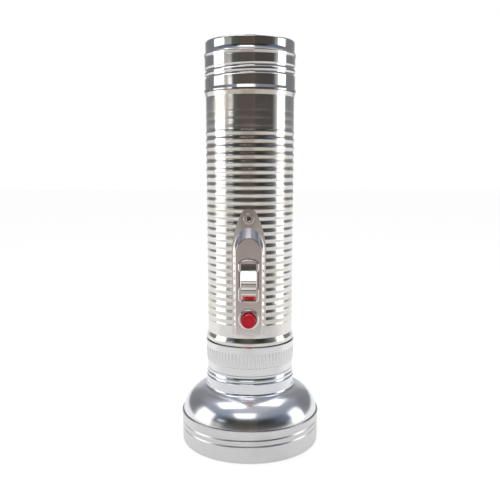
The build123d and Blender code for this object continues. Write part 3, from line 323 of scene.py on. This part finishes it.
# %% [markdown]
# ## The lamps
# Two tall soft boxes stand at the torch's left and right and draw the two white stripes down its
# tube. Two more hang overhead, one hangs above the camera, and a small one stands at the front left:
# the dome shows them as pale patches.
# An area lamp's brightness as a mirror sees it is its power over pi and its area, so the power is
# worked out from the brightness that the stripe should have.


# %% Lamps
def soft_box(name, centre, width, depth, brightness, aim=None):
    """A rectangular area lamp that faces down or a given point; brightness 1 mirrors as white."""
    centre = studio(*centre)
    aim = aim or (centre.x, centre.y, 0)
    bpy.ops.object.light_add(type="AREA", location=centre)
    lamp = bpy.context.object
    lamp.name = name
    lamp.data.shape = "RECTANGLE"
    lamp.data.size = width
    lamp.data.size_y = depth
    lamp.data.energy = brightness * pi * width * depth
    lamp.rotation_euler = (Vector(aim) - centre).to_track_quat("-Z", "Y").to_euler()
    print(f"{name}: {lamp.data.energy:.3f} W")
    return lamp


side_reach = 0.40
side_height = 0.14
side_tall = 0.28
side_bright = 1.4
left_away = -0.05
right_away = -0.025
torch_middle = (0, 0, 0.06)

soft_box("left box", (-side_reach, left_away, side_height), 0.24, side_tall, side_bright,
         (0, left_away, side_height))
soft_box("right box", (side_reach, right_away, side_height), 0.18, side_tall, side_bright,
         (0, right_away, side_height))
soft_box("overhead left", (-0.235, 0.01, 0.62), 0.37, 0.26, 1.5)
soft_box("overhead right", (0.215, 0.16, 0.62), 0.34, 0.32, 1.5)
soft_box("front strip", (-0.10, -0.53, 0.60), 0.42, 0.32, 1.35)
soft_box("small lamp", (-0.39, -0.33, 0.20), 0.11, 0.05, 0.8, torch_middle)

# %% [markdown]
# ## Shared effects
# Handling marks (smears, specks and scratches) and turning lines appear on many metals, so each is a
# node group with named inputs, built once. A group here puts out only masks and values; every metal keeps
# its own shader and mixes its own tarnish from them.


# %% Shared effects
def effect_group(name, inputs, outputs):
    """An empty node group with float inputs {name: default} and float outputs."""
    group = bpy.data.node_groups.new(name, "ShaderNodeTree")
    for label, default in inputs.items():
        socket = group.interface.new_socket(label, in_out="INPUT", socket_type="NodeSocketFloat")
        socket.default_value = default
    for label in outputs:
        group.interface.new_socket(label, in_out="OUTPUT", socket_type="NodeSocketFloat")
    return group, group.nodes.new("NodeGroupInput"), group.nodes.new("NodeGroupOutput")


def object_noise(tree, scale, detail=2.0, stretch=(1, 1, 1)):
    """Noise on Object coordinates, in cycles per metre, stretched along the axes."""
    place = add_node(tree, "ShaderNodeTexCoord").outputs["Object"]
    mapping = add_node(tree, "ShaderNodeMapping", Vector=place, Scale=stretch)
    return add_node(tree, "ShaderNodeTexNoise", Vector=mapping.outputs[0], Scale=scale,
                    Detail=detail).outputs[0]


smear_rate = 90               # these four in cycles per metre
speck_rate = 1500
hair_rate = 260
crossing_rate = 200
hair_stretch = (1, 1, 14)     # drawn out round the tube
crossing_stretch = (9, 9, 1)  # drawn out along the tube

handling, entry, leave = effect_group("handling marks", {"Amount": 1.0},
                                      ("Smears", "Specks", "Scratches"))
smears = map_range(handling, object_noise(handling, smear_rate, 3), 0.42, 0.72)
specks = map_range(handling, object_noise(handling, speck_rate, 1), 0.70, 0.78)
hairs = map_range(handling, object_noise(handling, hair_rate, 2, hair_stretch), 0.60, 0.74)
crossing = map_range(handling, object_noise(handling, crossing_rate, 2, crossing_stretch), 0.64, 0.76)
scratches = math_node(handling, "MAXIMUM", hairs, crossing)
for label, value in (("Smears", smears), ("Specks", specks), ("Scratches", scratches)):
    handling.links.new(math_node(handling, "MULTIPLY", value, entry.outputs["Amount"]),
                       leave.inputs[label])

turning, entry, leave = effect_group("turning lines", {"Lines per metre": 6000.0}, ("Lines",))
place = add_node(turning, "ShaderNodeTexCoord").outputs["Object"]
axes = add_node(turning, "ShaderNodeSeparateXYZ", Vector=place)
along = math_node(turning, "MULTIPLY", axes.outputs["Z"], entry.outputs["Lines per metre"])
lines = add_node(turning, "ShaderNodeTexNoise", {"noise_dimensions": "1D"}, W=along, Scale=1.0,
                 Detail=3.0)
turning.links.new(lines.outputs[0], leave.inputs["Lines"])
print("effects:", handling.name, "and", turning.name)


# %% [markdown]
# ## Bright metals
# All bright metals share one recipe: a metallic shader, a base roughness that smears and scratches
# raise a little, a colour that tarnish darkens in the same places, and a very fine bump.


# %% Bright metals
stain_share = 0.6             # how much of the stain's colour the worst wear takes on
ring_roughness = 0.2          # how much roughness the strongest turning line adds


def bright_metal(name, colour, stain, roughness, roughness_worn, marks=1.0, turned=0.0,
                 line_rate=6000.0, bump=0.02, bump_reach=0.00002):
    """A metal with smears, scratches and, where it was turned, fine rings about its axis."""
    metal = bpy.data.materials.new(name)
    metal.use_nodes = True
    tree = metal.node_tree
    shader = tree.nodes["Principled BSDF"]
    shader.inputs["Metallic"].default_value = 1.0
    worn = add_node(tree, "ShaderNodeGroup", {"node_tree": handling}, Amount=marks)
    wear = math_node(tree, "MAXIMUM", worn.outputs["Smears"], worn.outputs["Scratches"])
    tarnish = math_node(tree, "MULTIPLY", wear, stain_share)
    tree.links.new(mix_colour(tree, tarnish, colour, stain), shader.inputs["Base Color"])
    rough = map_range(tree, wear, 0, 1, roughness, roughness_worn, smooth=False)
    relief = math_node(tree, "ADD", worn.outputs["Specks"], worn.outputs["Scratches"])
    if turned:
        rings = add_node(tree, "ShaderNodeGroup", {"node_tree": turning}, Lines_per_metre=line_rate)
        lines = rings.outputs["Lines"]
        rough = math_node(tree, "MULTIPLY_ADD", lines, turned * ring_roughness, rough)
        relief = math_node(tree, "MULTIPLY_ADD", lines, turned, relief)
    tree.links.new(rough, shader.inputs["Roughness"])
    bumps = add_node(tree, "ShaderNodeBump", Strength=bump, Distance=bump_reach, Height=relief)
    tree.links.new(bumps.outputs[0], shader.inputs["Normal"])
    return metal


def dress(material, *names):
    """Gives every material slot of these pieces of the frame this finish."""
    for name in names:
        for slot in nodes_of_torch[name].material_slots:
            slot.material = material
    print(f"{material.name}: {', '.join(names)}")


dress(bright_metal("rolled tin plate", (0.86, 0.84, 0.81), (0.66, 0.61, 0.55), 0.13, 0.24), "body_tube")
dress(bright_metal("polished cap", (0.86, 0.85, 0.84), (0.70, 0.66, 0.62), 0.09, 0.18), "tail_cap")
dress(bright_metal("polished bell", (0.86, 0.88, 0.91), (0.74, 0.75, 0.78), 0.17, 0.24, marks=0.8), "bell")
dress(bright_metal("satin bezel", (0.82, 0.82, 0.82), (0.70, 0.70, 0.70), 0.24, 0.32, marks=0.6,
                   turned=0.5), "bezel_ring")
dress(bright_metal("turned ring", (0.86, 0.86, 0.86), (0.72, 0.72, 0.72), 0.10, 0.18, marks=0.35,
                   turned=0.25), "knurled_ring")
dress(bright_metal("brushed cover", (0.80, 0.77, 0.77), (0.66, 0.62, 0.62), 0.17, 0.25, marks=0.45),
      "switch_cover")
dress(bright_metal("polished thumb piece", (0.88, 0.87, 0.85), (0.70, 0.68, 0.66), 0.10, 0.20),
      "slide_button", "switch_eyelet", "push_button_collar")
dress(bright_metal("bright brass", (0.80, 0.60, 0.28), (0.45, 0.30, 0.13), 0.22, 0.40), "neck_ferrule",
      "spring_clip", "bulb_base", "bulb_holder", "centre_contact", "front_cell_nub", "rear_cell_nub",
      "contact_strip")
dress(bright_metal("spring bronze", (0.76, 0.50, 0.28), (0.50, 0.30, 0.17), 0.25, 0.42),
      "slide_contact", "signal_contact")
dress(bright_metal("spring steel", (0.55, 0.55, 0.57), (0.34, 0.32, 0.30), 0.28, 0.45), "tail_spring")
dress(bright_metal("cell steel", (0.62, 0.62, 0.60), (0.42, 0.40, 0.37), 0.32, 0.48),
      "front_cell_can", "rear_cell_can")
dress(bright_metal("silvered reflector", (0.94, 0.94, 0.94), (0.84, 0.84, 0.83), 0.03, 0.08, marks=0.4),
      "reflector")


# %% [markdown]
# ## Plastics, fibre, card, rubber and glass
# These pieces are not metal, so their colour comes from light that goes in and out again. Each has
# a colour that varies in patches and a bump of its own scale.


# %% Plain materials
patch_range = (0.35, 0.65)    # the noise values between which the second colour takes over
gloss_range = (0.3, 0.7)      # and those between which the roughness grows
roughness_spread = 0.15
grain_depth = 0.00005


def plain_material(name, colour, second, roughness, grain, bump, **sockets):
    """A non-metal whose colour and surface vary with one noise of this grain, in cycles per metre."""
    material = bpy.data.materials.new(name)
    material.use_nodes = True
    tree = material.node_tree
    shader = tree.nodes["Principled BSDF"]
    patches = object_noise(tree, grain, 3)
    tree.links.new(mix_colour(tree, map_range(tree, patches, *patch_range), colour, second),
                   shader.inputs["Base Color"])
    smooth_end = roughness * (1 - roughness_spread)
    rough_end = roughness * (1 + roughness_spread)
    tree.links.new(map_range(tree, patches, *gloss_range, smooth_end, rough_end),
                   shader.inputs["Roughness"])
    bumps = add_node(tree, "ShaderNodeBump", Strength=bump, Distance=grain_depth, Height=patches)
    tree.links.new(bumps.outputs[0], shader.inputs["Normal"])
    for key, value in sockets.items():
        shader.inputs[key.replace("_", " ")].default_value = value
    return material


dress(plain_material("red button plastic", (0.72, 0.006, 0.03), (0.60, 0.004, 0.02), 0.10, 900, 0.05,
                     Transmission_Weight=0.35, IOR=1.49), "push_button")
dress(plain_material("blue cell paper", (0.09, 0.17, 0.36), (0.07, 0.13, 0.30), 0.45, 600, 0.1),
      "front_cell_jacket", "rear_cell_jacket")
dress(plain_material("packed cell filling", (0.030, 0.030, 0.032), (0.018, 0.018, 0.020), 0.9, 2500, 0.5),
      "front_cell_mix", "rear_cell_mix")
dress(plain_material("grey card", (0.52, 0.43, 0.32), (0.44, 0.35, 0.25), 0.8, 1200, 0.4), "cell_liner")
dress(plain_material("vulcanised fibre", (0.30, 0.09, 0.06), (0.24, 0.07, 0.05), 0.5, 1500, 0.2),
      "slide_carrier", "strip_insulator", "contact_insulator")
dress(plain_material("black rubber", (0.02, 0.02, 0.02), (0.03, 0.03, 0.03), 0.6, 1800, 0.3),
      "lens_gasket")
dress(plain_material("clear glass", (0.96, 0.98, 0.97), (0.94, 0.97, 0.96), 0.02, 400, 0.01,
                     Transmission_Weight=1.0, IOR=1.5), "lens", "bulb_glass")
dress(plain_material("bead glass", (0.72, 0.78, 0.74), (0.66, 0.72, 0.70), 0.15, 900, 0.05),
      "bulb_filament")

# %% [markdown]
# ## Measure and finish
# The box of what is shown now, without the table, is printed in millimetres.

# %% Sizes and finish
low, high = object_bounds()
print("box now, mm:", [round(1000 * (b - a), 2) for a, b in zip(low, high)])
